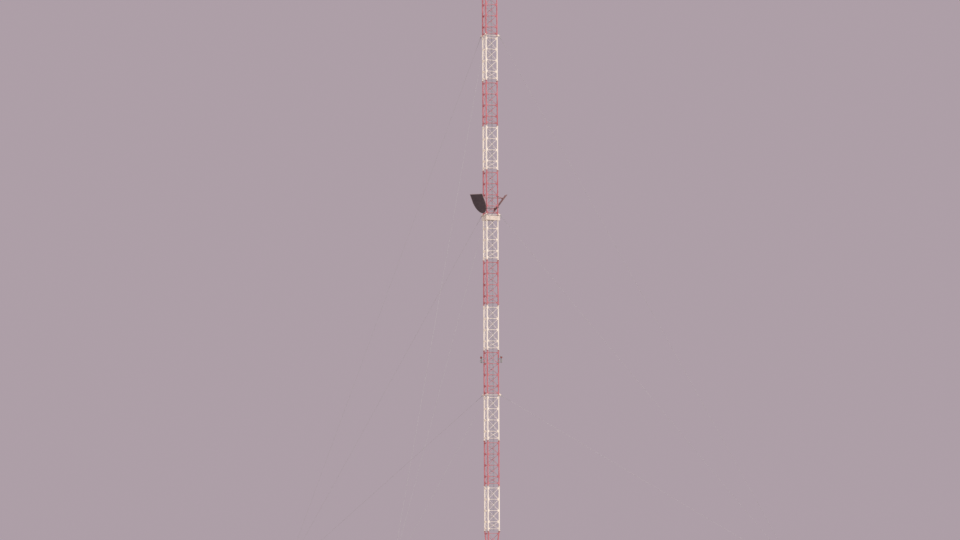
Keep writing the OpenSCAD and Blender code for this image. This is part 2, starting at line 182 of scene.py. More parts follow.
def shift(x=0.0, y=0.0, z=0.0):
    """A move, to be put together with turns by @"""
    return Matrix.Translation((x, y, z))


def turn(degrees, axis="Z"):
    """A turn round an axis through the origin"""
    return Matrix.Rotation(math.radians(degrees), 4, axis)


# Shapes

# Edges blunter than this, in degrees, are shaded smooth
SMOOTH_BELOW = 38


class Form:
    """Closed solids gathered into one piece, each with the number of its finish"""

    def __init__(self):
        self.points = []
        self.faces = []
        self.finishes = []

    def skin(self, rings, finish=0, at=Matrix(), closed=False):
        """Faces over rings of equal counts, with a cap at both ends unless the rings close"""
        first, count = len(self.points), len(rings[0])
        for points in rings:
            self.points += [at @ Vector(p) for p in points]
        for k in range(len(rings) if closed else len(rings) - 1):
            low, high = first + k * count, first + (k + 1) % len(rings) * count
            for i in range(count):
                j = (i + 1) % count
                self.face([low + i, low + j, high + j, high + i], finish)
        if not closed:
            self.face(range(first + count - 1, first - 1, -1), finish)
            self.face(range(len(self.points) - count, len(self.points)), finish)

    def face(self, corners, finish):
        self.faces.append(list(corners))
        self.finishes.append(finish)

    def lathe(self, profile, at, sides, finish=0):
        """A turned solid round Z, from (radius, height) pairs"""
        self.skin([circle(r, sides, z) for r, z in profile], finish, at)

    def hoop(self, profile, at, sides):
        """A turned solid with a hole, from a closed run of (radius, height) pairs, inside first"""
        self.skin([circle(r, sides, z) for r, z in profile], at=at, closed=True)

    def ring(self, inner, outer, half, at, sides=24):
        """A flat ring round Z, half its height to each side"""
        self.hoop([(inner, -half), (inner, half), (outer, half), (outer, -half)], at, sides)

    def bar(self, start, end, diameter, sides, finish=0):
        """A round bar between two points"""
        start, end = Vector(start), Vector(end)
        self.lathe([(diameter / 2, 0), (diameter / 2, (end - start).length)],
                   along(start, end - start), sides, finish)

    def box(self, size, at, bevel=0.0):
        """A box round the origin of at, with its edges cut back by the bevel"""
        x, y, z = (v / 2 for v in size)
        if not bevel:
            self.skin([[(-x, -y, h), (x, -y, h), (x, y, h), (-x, y, h)] for h in (-z, z)], at=at)
            return

        def level(h, inset):
            u, v, c = x - inset, y - inset, bevel
            return [(-u + c, -v, h), (u - c, -v, h), (u, -v + c, h), (u, v - c, h),
                    (u - c, v, h), (-u + c, v, h), (-u, v - c, h), (-u, -v + c, h)]

        levels = [level(-z, bevel), level(-z + bevel, 0), level(z - bevel, 0), level(z, bevel)]
        self.skin(levels, at=at)

    def plate(self, outline, thickness, at):
        """A plate in the XY plane of at, half its thickness to each side"""
        self.skin([[(x, y, h) for x, y in outline] for h in (-thickness / 2, thickness / 2)], at=at)

    def tube(self, path, diameter, sides, finish):
        """A round tube through a list of points"""
        path = [Vector(p) for p in path]
        rings = []
        side = (path[1] - path[0]).orthogonal()
        for k, p in enumerate(path):
            direction = (path[min(k + 1, len(path) - 1)] - path[max(k - 1, 0)]).normalized()
            frame_here = along(p, direction, side)
            side = frame_here.col[0].to_3d()
            rings.append([frame_here @ Vector(q) for q in circle(diameter / 2, sides, 0)])
        self.skin(rings, finish)

    def bolt(self, at, diameter, finish=1, tail=0.0, washer=True):
        """A hexagon head or nut standing on the XY plane of at, with a thread end where it has a tail"""
        base = 0.0
        if washer:
            base = diameter * 0.18
            self.lathe([(diameter * 1.05, 0), (diameter * 1.05, base)], at, 14, finish)
        head = base + diameter * 0.65
        self.lathe([(diameter * 0.95, base), (diameter * 0.95, head - diameter * 0.1),
                    (diameter * 0.8, head)], at, 6, finish)
        if tail:
            self.lathe([(diameter / 2, head), (diameter / 2, head + tail - diameter * 0.12),
                        (diameter * 0.36, head + tail)], at, 10, finish)

    def mesh(self, name):
        """The solids as one mesh, with every face turned outwards"""
        mesh = bpy.data.meshes.new(name)
        mesh.from_pydata([tuple(p) for p in self.points], [], self.faces)
        mesh.polygons.foreach_set("material_index", self.finishes)
        shells = bmesh.new()
        shells.from_mesh(mesh)
        bmesh.ops.recalc_face_normals(shells, faces=shells.faces[:])
        shells.to_mesh(mesh)
        shells.free()
        return mesh

    def make(self, name, materials, replaces=()):
        """The solids as a named piece on the mast's body, in place of the CAD nodes that it replaces"""
        mesh = self.mesh(name)
        for material in materials:
            mesh.materials.append(material)
        mesh.polygons.foreach_set("use_smooth", [True] * len(self.faces))
        mesh.set_sharp_from_angle(angle=math.radians(SMOOTH_BELOW))
        mesh.update()
        piece = bpy.data.objects.new(name, mesh)
        bpy.context.scene.collection.objects.link(piece)
        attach(piece, "root")
        if replaces:
            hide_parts(*replaces)
        return piece


def circle(radius, sides, z):
    """Points of a polygon round Z, at the height z"""
    return [(radius * math.cos(2 * math.pi * k / sides), radius * math.sin(2 * math.pi * k / sides), z)
            for k in range(sides)]


def rectangle(x0, y0, x1, y1):
    """Outline of a rectangle between two opposite corners"""
    return [(x0, y0), (x1, y0), (x1, y1), (x0, y1)]


# Finishes

class Finish:
    """A material on one shader, with short names for the nodes that the finishes share"""

    def __init__(self, name, roughness=0.6, metallic=0.0):
        self.material = bpy.data.materials.new(name)
        self.material.use_nodes = True
        self.tree = self.material.node_tree
        self.shader = self.tree.nodes["Principled BSDF"]
        self.shader.inputs["Roughness"].default_value = roughness
        self.shader.inputs["Metallic"].default_value = metallic
        self.place = self.tree.nodes.new("ShaderNodeTexCoord").outputs["Object"]

    def node(self, kind, inputs=(), **settings):
        """A shader node with values or links for its inputs"""
        made = self.tree.nodes.new("ShaderNode" + kind)
        for key, value in settings.items():
            setattr(made, key, value)
        for key, value in dict(inputs).items():
            self.set(made.inputs[key], value)
        return made

    def set(self, socket, value):
        """Links the socket to another one, or gives it a value"""
        if isinstance(value, bpy.types.NodeSocket):
            self.tree.links.new(value, socket)
        elif isinstance(value, tuple) and len(value) == 3 and socket.type == "RGBA":
            socket.default_value = (*value, 1.0)
        else:
            socket.default_value = value

    def noise(self, scale, detail, stretch=None, rough=0.6):
        """Cloudy noise, drawn out along the axes whose stretch is under 1"""
        place = self.place
        if stretch:
            place = self.node("Mapping", {"Vector": place, "Scale": stretch}).outputs[0]
        return self.node("TexNoise", {"Vector": place, "Scale": scale, "Detail": detail,
                                      "Roughness": rough}).outputs["Fac"]

    def cells(self, scale, output="Distance"):
        return self.node("TexVoronoi", {"Vector": self.place, "Scale": scale}).outputs[output]

    def fade(self, value, low, high, bottom=0.0, top=1.0):
        """The value's range from low to high, as a smooth step from bottom to top"""
        return self.node("MapRange", {"Value": value, "From Min": low, "From Max": high, "To Min": bottom,
                                      "To Max": top}, interpolation_type="SMOOTHSTEP").outputs[0]

    def maths(self, operation, a, b):
        return self.node("Math", {0: a, 1: b}, operation=operation).outputs[0]

    def blend(self, factor, a, b):
        """A colour between a and b. The mix node has its colours on the sockets 6, 7 and 2"""
        mix = self.node("Mix", data_type="RGBA")
        self.set(mix.inputs["Factor"], factor)
        self.set(mix.inputs[6], a)
        self.set(mix.inputs[7], b)
        return mix.outputs[2]

    def height(self):
        """Height above the ground"""
        return self.node("SeparateXYZ", {0: self.place}).outputs["Z"]

    def near_joints(self, reach):
        """1 at the joints between the mast's sections, 0 further from them than the reach"""
        run = self.maths("SUBTRACT", self.height(), foot_z)
        swing = self.maths("PINGPONG", run, section_h / 2)
        return self.fade(swing, 0.0, reach, 1.0, 0.0)

    def darkened_to_foot(self, colour, most):
        """The colour darkened unevenly to a dark brown, most at the feet of the reflectors and fading out
        a metre above them
        """
        foot = joint_z(REFLECTOR_JOINT) + PANEL_LIFT
        depth = self.fade(self.height(), foot + 0.25, foot + 1.0, most, 0.0)
        uneven = self.fade(self.noise(6, 4), 0.3, 0.6, 0.7, 1.0)
        return self.blend(self.maths("MULTIPLY", depth, uneven), colour, (0.085, 0.045, 0.038))

    def bump(self, height, strength, distance, under=None):
        """Relief from a height, on top of another relief where there is one under it"""
        inputs = {"Height": height, "Strength": strength, "Distance": distance}
        if under:
            inputs["Normal"] = under
        return self.node("Bump", inputs).outputs[0]

    def done(self, colour, roughness=None, normal=None):
        """The material, with its colour and what else is given"""
        self.set(self.shader.inputs["Base Color"], colour)
        if roughness:
            self.set(self.shader.inputs["Roughness"], roughness)
        if normal:
            self.set(self.shader.inputs["Normal"], normal)
        return self.material


def paint(name, fresh, chalked, grime, foot_darkening=0.0):
    """Old alkyd paint: chalked in clouds, streaked by rain, flaking to rust near the bolted joints"""
    f = Finish(name)
    clouds = f.fade(f.noise(1.7, 5), 0.34, 0.66)
    colour = f.blend(clouds, fresh, chalked)
    streaks = f.fade(f.noise(20, 4, (1, 1, 0.05)), 0.54, 0.76, 0.0, 0.40)
    colour = f.blend(streaks, colour, grime)
    runs = f.fade(f.noise(34, 4, (1, 1, 0.035)), 0.52, 0.70, 0.0, 0.45)
    colour = f.blend(f.maths("MULTIPLY", runs, f.near_joints(0.6)), colour, (0.30, 0.15, 0.08))
    weak = f.maths("MULTIPLY", f.near_joints(0.30), 0.060)
    patches = f.fade(f.noise(5, 3), 0.42, 0.70, 0.0, 0.050)
    loose = f.maths("ADD", f.noise(75, 6, rough=0.7), f.maths("ADD", weak, patches))
    rust = f.fade(loose, 0.665, 0.70)
    colour = f.blend(f.fade(loose, 0.60, 0.665, 0.0, 0.35), colour, (0.32, 0.15, 0.08))
    colour = f.blend(rust, colour, (0.15, 0.058, 0.028))
    # Darker towards the reflectors' feet, where a foot darkening is given
    if foot_darkening:
        colour = f.darkened_to_foot(colour, foot_darkening)
    grain = f.bump(f.noise(420, 3), 0.25, 0.0006)
    edge = f.bump(rust, 0.5, -0.0006, grain)
    return f.done(colour, f.fade(clouds, 0.0, 1.0, 0.5, 0.78), edge)


def zinc(name, tone=0.36, rust=0.70):
    """Hot-dip galvanising gone dull: spangle, pale bloom and a little rust"""
    f = Finish(name, metallic=0.35)
    spangle = f.cells(85, "Color")
    shade = f.node("SeparateColor", {0: spangle}).outputs[0]
    base = f.blend(f.fade(shade, 0.0, 1.0), (tone * 0.82, tone * 0.84, tone * 0.86), (tone * 1.12,) * 3)
    bloom = f.fade(f.noise(5, 6), 0.45, 0.7, 0.0, 0.6)
    base = f.blend(bloom, base, (tone * 1.35, tone * 1.33, tone * 1.28))
    streaks = f.fade(f.noise(24, 4, (1, 1, 0.06)), 0.55, 0.75, 0.0, 0.45)
    base = f.blend(streaks, base, (tone * 0.5, tone * 0.46, tone * 0.42))
    spots = f.fade(f.noise(48, 6, rough=0.7), rust - 0.04, rust)
    base = f.blend(spots, base, (0.13, 0.050, 0.022))
    rough = f.fade(shade, 0.0, 1.0, 0.42, 0.62)
    return f.done(base, rough, f.bump(f.noise(260, 4), 0.3, 0.0007))


def strand(name, direction):
    """Galvanised guy strand, its wires laid as slanting ridges along the given direction, with painted
    shade in the grooves between them
    """
    f = Finish(name, roughness=0.5, metallic=0.4)
    lay_angle = math.radians(28)
    rotation = Vector(direction).rotation_difference(Vector((0, 0, 1))).to_euler()
    local = f.node("Mapping", {"Vector": f.place, "Rotation": tuple(rotation)}).outputs[0]
    slant = f.node("Mapping", {"Vector": local, "Rotation": (0.0, lay_angle, 0.0)}).outputs[0]
    waves = f.node("TexWave", {"Vector": slant, "Scale": 60.0, "Distortion": 0.0}, bands_direction="Z")
    wires = waves.outputs["Fac"]
    patches = f.fade(f.noise(9, 5), 0.35, 0.7)
    colour = f.blend(patches, (0.51, 0.50, 0.51), (0.41, 0.39, 0.39))
    # The grooves between the wires are painted darker: painted shade in the lay
    colour = f.blend(f.fade(wires, 0.0, 0.35, 0.4, 0.0), colour, (0.23, 0.22, 0.21))
    rust = f.fade(f.noise(30, 5), 0.62, 0.72, 0.0, 0.7)
    return f.done(f.blend(rust, colour, (0.14, 0.06, 0.03)), normal=f.bump(wires, 0.7, 0.0015))


def concrete(name):
    """Cast concrete: board marks, blow holes, cement bloom and damp near the ground"""
    f = Finish(name, roughness=0.9)
    tone = f.blend(f.fade(f.noise(3.5, 7), 0.3, 0.7), (0.33, 0.31, 0.27), (0.47, 0.45, 0.41))
    tone = f.blend(f.fade(f.noise(95, 3), 0.58, 0.72, 0.0, 0.5), tone, (0.22, 0.21, 0.19))
    tone = f.blend(f.fade(f.noise(16, 4, (1, 1, 0.15)), 0.55, 0.75, 0.0, 0.45), tone, (0.17, 0.16, 0.135))
    tone = f.blend(f.fade(f.height(), 0.0, 0.10, 0.55, 0.0), tone, (0.16, 0.145, 0.12))
    holes = f.fade(f.cells(60), 0.10, 0.20, 1.0, 0.0)
    sparse = f.fade(f.noise(11, 2), 0.5, 0.6)
    pores = f.maths("MULTIPLY", holes, sparse)
    tone = f.blend(f.maths("MULTIPLY", pores, 0.8), tone, (0.10, 0.095, 0.085))
    boards = f.maths("PINGPONG", f.height(), 0.05)
    seam = f.fade(boards, 0.0, 0.0035, 1.0, 0.0)
    relief = f.bump(f.noise(130, 6), 0.5, 0.002)
    relief = f.bump(pores, 0.8, -0.003, relief)
    return f.done(tone, normal=f.bump(seam, 0.7, 0.002, relief))


def sheet(name, dark, pale, foot_darkening=0.0):
    """Dull metal sheet with long water stains and slight dents"""
    f = Finish(name, roughness=0.55, metallic=0.25)
    colour = f.blend(f.fade(f.noise(2.6, 6), 0.32, 0.68), dark, pale)
    stains = f.fade(f.noise(17, 5, (1, 1, 0.12)), 0.5, 0.75, 0.0, 0.5)
    colour = f.blend(stains, colour, tuple(c * 0.55 for c in dark))
    specks = f.fade(f.noise(140, 4), 0.66, 0.72, 0.0, 0.7)
    colour = f.blend(specks, colour, tuple(min(1.0, c * 1.5) for c in pale))
    # Darker towards the reflectors' feet, where a foot darkening is given
    if foot_darkening:
        colour = f.darkened_to_foot(colour, foot_darkening)
    dents = f.bump(f.noise(3.2, 2), 0.6, 0.012)
    rough = f.fade(f.noise(7, 4), 0.3, 0.7, 0.45, 0.68)
    return f.done(colour, rough, f.bump(f.noise(300, 3), 0.2, 0.0006, dents))


def lens(name):
    """Red pressed glass, dusty on the outside"""
    f = Finish(name, roughness=0.12)
    f.shader.inputs["Transmission Weight"].default_value = 0.55
    f.shader.inputs["IOR"].default_value = 1.5
    dust = f.fade(f.noise(28, 5, (1, 1, 0.3)), 0.42, 0.72, 0.05, 0.5)
    colour = f.blend(dust, (0.42, 0.020, 0.014), (0.40, 0.19, 0.16))
    return f.done(colour, f.fade(dust, 0.0, 0.5, 0.2, 0.5), f.bump(f.noise(90, 2), 0.15, 0.001))


# Share of the colour that the darkening takes at the reflectors' feet
FOOT_DARKENING = 0.75

red = paint("red_paint", (0.50, 0.133, 0.150), (0.585, 0.212, 0.240), (0.24, 0.085, 0.088))
white = paint("white_paint", (0.90, 0.815, 0.715), (0.86, 0.775, 0.675), (0.55, 0.47, 0.385))
# A darker white for the girder: grime, and painted shade standing in for the shade on its face turned
# from the sun
grimy_and_shaded_white = paint("grimy_white_paint", (0.69, 0.605, 0.53), (0.65, 0.565, 0.49), (0.40, 0.33, 0.275))
# Reflector frames and mounts: a darker, faded copy of the red paint, partly painted shade on members that
# lie in shade
shaded_oxide = paint("red_oxide_paint", (0.33, 0.17, 0.172), (0.42, 0.25, 0.25), (0.17, 0.09, 0.088), FOOT_DARKENING)
steel = zinc("galvanised_steel")
bolt_steel = zinc("bolt_steel", tone=0.30, rust=0.62)
cast = concrete("concrete")
# The reflecting face is near black: painted shade and a painted reflection of dark ground on what is
# bright metal
shaded_face_sheet = sheet("reflector_face_painted_shade", (0.056, 0.038, 0.043), (0.074, 0.052, 0.057))
back_sheet = sheet("reflector_back", (0.33, 0.25, 0.26), (0.40, 0.31, 0.32), FOOT_DARKENING)
red_glass = lens("red_glass")


def band(n):
    """Paint of section n"""
    return red if n % 2 else white


# Mast

def gusset(form, corner, other, braces_below, braces_above):
    """A plate on a leg in the plane of a face, with the girt's bolts, cut short where it has no brace"""
    span = other - corner
    direction = span.normalized()
    up = Vector((0, 0, 1))
    at = Matrix((direction, up, direction.cross(up))).transposed().to_4x4()
    at.translation = corner
    reach = min(GUSSET_REACH, span.length * 0.36)
    root = LEG_D * 0.3
    neck = root + 0.035
    tip, short = 0.032, 0.040
    low = -GUSSET_H / 2 if braces_below else -short
    high = GUSSET_H / 2 if braces_above else short
    form.plate([(root, low), (neck, low), (reach, -tip), (reach, tip), (neck, high), (root, high)],
               GUSSET_T, at)
    for inset in (0.012, 0.042):
        bolt_pair(form, at @ shift(reach - inset), GIRT_D / 2)


def bolt_pair(form, at, half):
    """A bolt head and a nut on a round member's two sides, half its thickness off the XY plane of at"""
    for side in (at, at @ turn(180, "X")):
        form.bolt(side @ shift(z=half - LATTICE_BOLT_SUNK), LATTICE_BOLT_D, washer=False)


def crossed_braces(form, first, second):
    """Two braces, each from its low to its high end, with a plate where they cross and their bolts"""
    for brace in (first, second):
        form.bar(*brace, BRACE_D, 10)
    width_low, width_high = (first[0] - second[0]).length, (second[1] - first[1]).length
    cross = first[0].lerp(first[1], width_low / (width_low + width_high))
    normal = (first[1] - first[0]).cross(second[1] - second[0]).normalized()
    at = along(cross, normal)
    form.lathe([(CROSS_PLATE_D / 2, -GUSSET_T / 2), (CROSS_PLATE_D / 2, GUSSET_T / 2)], at, 12)
    bolt_pair(form, at, BRACE_D / 2)
    for start, end in (first, second):
        inset = (end - start).normalized() * min(0.085, (end - start).length * 0.2)
        for point in (start + inset, end - inset):
            bolt_pair(form, along(point, normal), BRACE_D / 2)


def section(n):
    """One section: legs, girts, crossed braces, gussets, and flanges with their bolts"""
    form = Form()
    base = joint_z(n - 1)
    r_foot = FOOT_R if n == 1 else leg_r
    girts = girt_heights()

    def leg(i, h):
        return polar(r_foot + (leg_r - r_foot) * h / section_h, LEG_AZ[LEGS[i % 3]], base + h)

    for i in range(3):
        form.bar(leg(i, FLANGE_T / 2), leg(i, section_h - FLANGE_T / 2), LEG_D, 24)
        for k, h in enumerate(girts):
            form.bar(leg(i, h), leg(i + 1, h), GIRT_D, 14)
            gusset(form, leg(i, h), leg(i + 1, h), k > 0, k < PANELS)
            gusset(form, leg(i + 1, h), leg(i, h), k > 0, k < PANELS)
        for low, high in zip(girts, girts[1:]):
            crossed_braces(form, (leg(i, low), leg(i + 1, high)), (leg(i + 1, low), leg(i, high)))
    for i, name in enumerate(LEGS):
        top = shift(*leg(i, section_h - FLANGE_T)) @ turn(LEG_AZ[name])
        flange(form, top, down=True)
        if n > 1:
            foot = shift(*leg(i, 0)) @ turn(LEG_AZ[name])
            flange(form, foot, collar_t=COLLAR_T if n - 1 in GUY_JOINTS.values() else 0.0)
    if n == 1:
        foot_plate(form)
    return form.make(f"section_{n:02d}_dressed", [band(n), bolt_steel],
                     [f"section_{n:02d}"])


def flange(form, at, down=False, collar_t=0.0):
    """A leg flange with its bolts, and ribs to the leg where no collar plate lies on it"""
    r, edge = FLANGE_D / 2, 0.001
    form.lathe([(r - edge, 0), (r, edge), (r, FLANGE_T - edge), (r - edge, FLANGE_T)], at, 24)
    side = at @ turn(180, "X") if down else at @ shift(z=FLANGE_T + collar_t)
    flange_bolts(form, side, tail=0.008 if down else 0.0)
    if collar_t:
        return
    root, toe, top = LEG_D / 2 - 0.003, r - 0.006, FLANGE_RIB_H
    outline = [(root, -0.001), (toe, -0.001), (toe, 0.008), (LEG_D / 2 + 0.004, top), (root, top)]
    for k in range(0, FLANGE_BOLTS, 2):
        form.plate(outline, 0.006, side @ turn(360 / FLANGE_BOLTS * k) @ turn(90, "X"))


def flange_bolts(form, at, tail=0.0):
    """The bolts of a leg flange, standing on the XY plane of at"""
    for k in range(FLANGE_BOLTS):
        spot = at @ turn(360 / FLANGE_BOLTS * (k + 0.5)) @ shift(FLANGE_BOLT_R)
        form.bolt(spot, FLANGE_BOLT_D, tail=tail)


def foot_plate(form):
    """Plate under the first section, with the pivot hole and ribs up to the legs"""
    r, hole, edge = FOOT_PLATE_D / 2, PIN_HOLE_D / 2, 0.003
    form.hoop([(hole, 0), (hole, FOOT_PLATE_T), (r - edge, FOOT_PLATE_T), (r, FOOT_PLATE_T - edge),
               (r, edge), (r - edge, 0)], shift(z=foot_z), 48)
    outline = [(hole + 0.012, -0.001), (FOOT_R, -0.001), (FOOT_R, 0.10), (hole + 0.03, 0.06)]
    for name in LEGS:
        form.plate(outline, 0.012, shift(z=foot_z + FOOT_PLATE_T) @ turn(LEG_AZ[name]) @ turn(90, "X"))


for number in range(1, SECTION_COUNT + 1):
    section(number)


# Guys

def grip(form, at, start, end):
    """Helical wires laid round the strand, from start to end along Z"""
    radius = STRAND_D / 2 + 0.0016
    steps = int((end - start) / GRIP_PITCH * GRIP_STEPS_A_TURN)
    for wire in range(GRIP_WIRES):
        path = []
        for k in range(steps + 1):
            z = start + (end - start) * k / steps
            azimuth = 360 * ((z - start) / GRIP_PITCH) + 360 / GRIP_WIRES * wire
            path.append(at @ polar(radius, azimuth, z))
        form.tube(path, GRIP_WIRE_D, 5, 1)


def fork(form, at):
    """Two cheeks on a pin, joined behind it, with the pin's head and its washer"""
    gap = LUG_T / 2 + SEAT_GAP
    cheek_t, half_w, back, throat, corner = 0.010, 0.026, 0.030, 0.060, 0.010
    arc = [(half_w * math.cos(math.radians(a)), back * math.sin(math.radians(a)))
           for a in range(180, 361, 20)]
    cheek = arc + [(half_w, FORK_END - corner), (half_w - corner, FORK_END),
                   (-half_w + corner, FORK_END), (-half_w, FORK_END - corner)]
    pin = at @ turn(90, "X")
    for s in (-1, 1):
        form.plate(cheek, cheek_t, pin @ shift(z=s * (gap + cheek_t / 2)))
    bridge = at @ shift(z=(FORK_END + throat) / 2)
    form.box((2 * half_w, 2 * gap + cheek_t, FORK_END - throat), bridge, 0.003)
    half = gap + cheek_t
    head_r = PIN_D * 0.72
    form.lathe([(PIN_D / 2, -half - 0.006), (PIN_D / 2, half + 0.006)], pin, 20, 1)
    form.lathe([(head_r, half + 0.001), (head_r, half + 0.005), (PIN_D * 0.6, half + 0.007)], pin, 20, 1)
    form.lathe([(PIN_D * 0.66, -half - 0.003), (PIN_D * 0.66, -half - 0.0005)], pin, 16, 1)


def turnbuckle(form, at):
    """Open turnbuckle on two threaded rods, with its lock nuts and locking wire"""
    low, high = BUCKLE
    block, nut_h = 0.034, 0.013
    for z in (low, high):
        form.box((2 * block, block, block), at @ shift(z=z + block / 2), 0.004)
    for s in (-1, 1):
        x = s * (block - 0.007)
        form.bar(at @ Vector((x, 0, low)), at @ Vector((x, 0, high + block)), 0.015, 12)
    for start, end in ((0.065, low + 0.085), (high - 0.070, high + 0.070)):
        threads = []
        for k in range(int((end - start) / THREAD_PITCH)):
            z = start + k * THREAD_PITCH
            threads += [(BUCKLE_ROD_R, z), (THREAD_R, z + THREAD_PITCH / 2)]
        form.lathe(threads + [(BUCKLE_ROD_R, end)], at, 12, 1)
    for z in (low - nut_h, high + block):
        form.lathe([(0.024, z), (0.024, z + nut_h)], at, 6, 1)
    wire = [(0.010, 0, low + 0.010), (0.017, 0.008, low + 0.10),
            (-0.014, 0.008, high - 0.06), (-0.010, 0, high + 0.02)]
    form.tube([at @ Vector(p) for p in wire], 0.003, 5, 1)


def socket(form, at, z):
    """Socket at the height z, and the grip that leaves it, with the clamp on the grip's end"""
    tip_r, clamp_r = 0.0095, 0.0105
    form.lathe([(0.011, z), (SOCKET_R, z + 0.012), (SOCKET_R, z + 0.070), (tip_r, z + 0.120)], at, 16)
    grip(form, at, z + 0.115, z + 0.115 + GRIP_L)
    clamp = [(tip_r, 0.640), (clamp_r, 0.643), (clamp_r, 0.662), (tip_r, 0.665)]
    form.lathe([(r, z + h) for r, h in clamp], at, 12, 1)


def guy(level, leg):
    """A guy from its anchor's fan plate to its lug: forks, turnbuckle, sockets, strand and grips"""
    form = Form()
    lug = Vector((leg_r + LUG_REACH, 0, joint_z(GUY_JOINTS[level]) - LUG_DROP))
    anchor = Vector((ANCHOR_R, 0, ANCHOR_Z))
    direction = (lug - anchor).normalized()
    start = anchor + direction * FAN_R
    length = (lug - start).length
    spin = turn(LEG_AZ[leg])
    at = spin @ along(start, direction, (0, 1, 0)) @ turn(90)
    fork(form, at)
    turnbuckle(form, at)
    far = at @ shift(z=length) @ turn(180, "X")
    fork(form, far)
    near_z = BUCKLE[1] + 0.060
    socket(form, at, near_z)
    socket(form, far, FORK_END - 0.010)
    inside = 0.05
    form.bar(at @ Vector((0, 0, near_z + inside)), at @ Vector((0, 0, length - FORK_END - inside)),
             STRAND_D, 12, 2)
    name = f"guy_{level}_{leg}"
    lay = strand("strand_" + name, spin @ direction)
    return form.make(name + "_dressed", [steel, bolt_steel, lay], [name])


for level_name in GUY_JOINTS:
    for leg_name in LEGS:
        guy(level_name, leg_name)


def collar_bolts(level):
    """Bolts through the ties and the plates of a guy collar"""
    form = Form()
    z = joint_z(GUY_JOINTS[level]) + FLANGE_T + COLLAR_T
    half_face = leg_r * 0.866
    for name in LEGS:
        side = turn(LEG_AZ[name] + 180)
        for s in (-1, 1):
            for k in (0, 1):
                spot = side @ shift(face_r + GIRT_D / 2 + 0.025, s * (half_face - 0.072 - 0.030 * k), z)
                form.bolt(spot, COLLAR_BOLT_D, finish=0)
                form.bolt(spot @ shift(z=-COLLAR_T) @ turn(180, "X"), COLLAR_BOLT_D, finish=0, tail=0.005)
    return form.make(f"guy_collar_{level}_bolts", [bolt_steel])


for level_name in GUY_JOINTS:
    collar_bolts(level_name)


# Ground pieces

def pier():
    """Stepped pier with chamfered edges"""
    form = Form()
    low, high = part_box("base_pier")
    width, sunk = high.x - low.x, 0.020
    form.box((width, width, PIER_STEP_H), shift(z=PIER_STEP_H / 2), 0.014)
    form.box((PIER_TOP_W, PIER_TOP_W, high.z - PIER_STEP_H + sunk),
             shift(z=(high.z + PIER_STEP_H - sunk) / 2), 0.012)
    return form.make("base_pier_cast", [cast], ["base_pier"])


def corner_bolts(form, at, reach, diameter, tail, washer_r):
    """Four anchor bolts with nuts and broad washers, near the corners of a square plate"""
    for x in (-reach, reach):
        for y in (-reach, reach):
            spot = at @ shift(x, y)
            form.bolt(spot, diameter, finish=0, tail=tail)
            form.lathe([(washer_r, 0), (washer_r, 0.004)], spot, 20)


def base_bolts():
    """Anchor bolts on the base plate, and ribs to the pivot block"""
    form = Form()
    low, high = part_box("pivot_base")
    at = shift(z=low.z + BASE_PLATE_T)
    corner_bolts(form, at, high.x - 0.045, diameter=0.024, tail=0.030, washer_r=0.034)
    root, toe, top = 0.055, 0.150, 0.034
    outline = [(root, -0.001), (toe, -0.001), (toe, 0.008), (0.062, top), (root, top)]
    for k in range(4):
        form.plate(outline, 0.010, at @ turn(90 * k) @ turn(90, "X"))
    return form.make("base_bolts", [steel])


def anchor_cast(leg):
    """Concrete block of a guy anchor, with chamfered edges"""
    form = Form()
    low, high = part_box("anchor_block_" + leg)
    middle = (low + high) / 2
    form.box((BLOCK_W, BLOCK_W, high.z), shift(middle.x, middle.y, high.z / 2) @ turn(LEG_AZ[leg]), 0.016)
    return form.make(f"anchor_block_{leg}_cast", [cast], ["anchor_block_" + leg])


def anchor_bolts(leg):
    """Anchor bolts on the shoe of a guy anchor"""
    form = Form()
    low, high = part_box("anchor_block_" + leg)
    middle = (low + high) / 2
    at = shift(middle.x, middle.y, high.z + SHOE_T) @ turn(LEG_AZ[leg])
    corner_bolts(form, at, SHOE_BOLT_AT, diameter=0.022, tail=0.028, washer_r=0.031)
    return form.make(f"anchor_{leg}_bolts", [steel])


pier()
base_bolts()
for leg_name in LEGS:
    anchor_cast(leg_name)
    anchor_bolts(leg_name)


# Reflectors

def reflector_frame_at(which):
    """The panel's own frame: X across it, Z up its slope, Y out of its reflecting face"""
    centre, azimuth = REFLECTORS[which]
    overhang = polar(PANEL_L / 2 * math.sin(math.radians(PANEL_TILT)), azimuth)
    foot = Vector(centre) + Vector((0, 0, joint_z(REFLECTOR_JOINT) + PANEL_LIFT)) - overhang
    return shift(*foot) @ turn(azimuth - 90) @ turn(-PANEL_TILT, "X")


def shield(inset, steps=28):
    """Outline of a panel, straight at its top and rounded at its foot, drawn in by the inset"""
    w, round_h = PANEL_W / 2 - inset, PANEL_ROUND - inset
    angles = [math.pi * (1 + k / steps) for k in range(steps + 1)]
    arc = [(w * math.cos(a), PANEL_ROUND + round_h * math.sin(a)) for a in angles]
    return arc + [(w, PANEL_L - inset), (-w, PANEL_L - inset)]


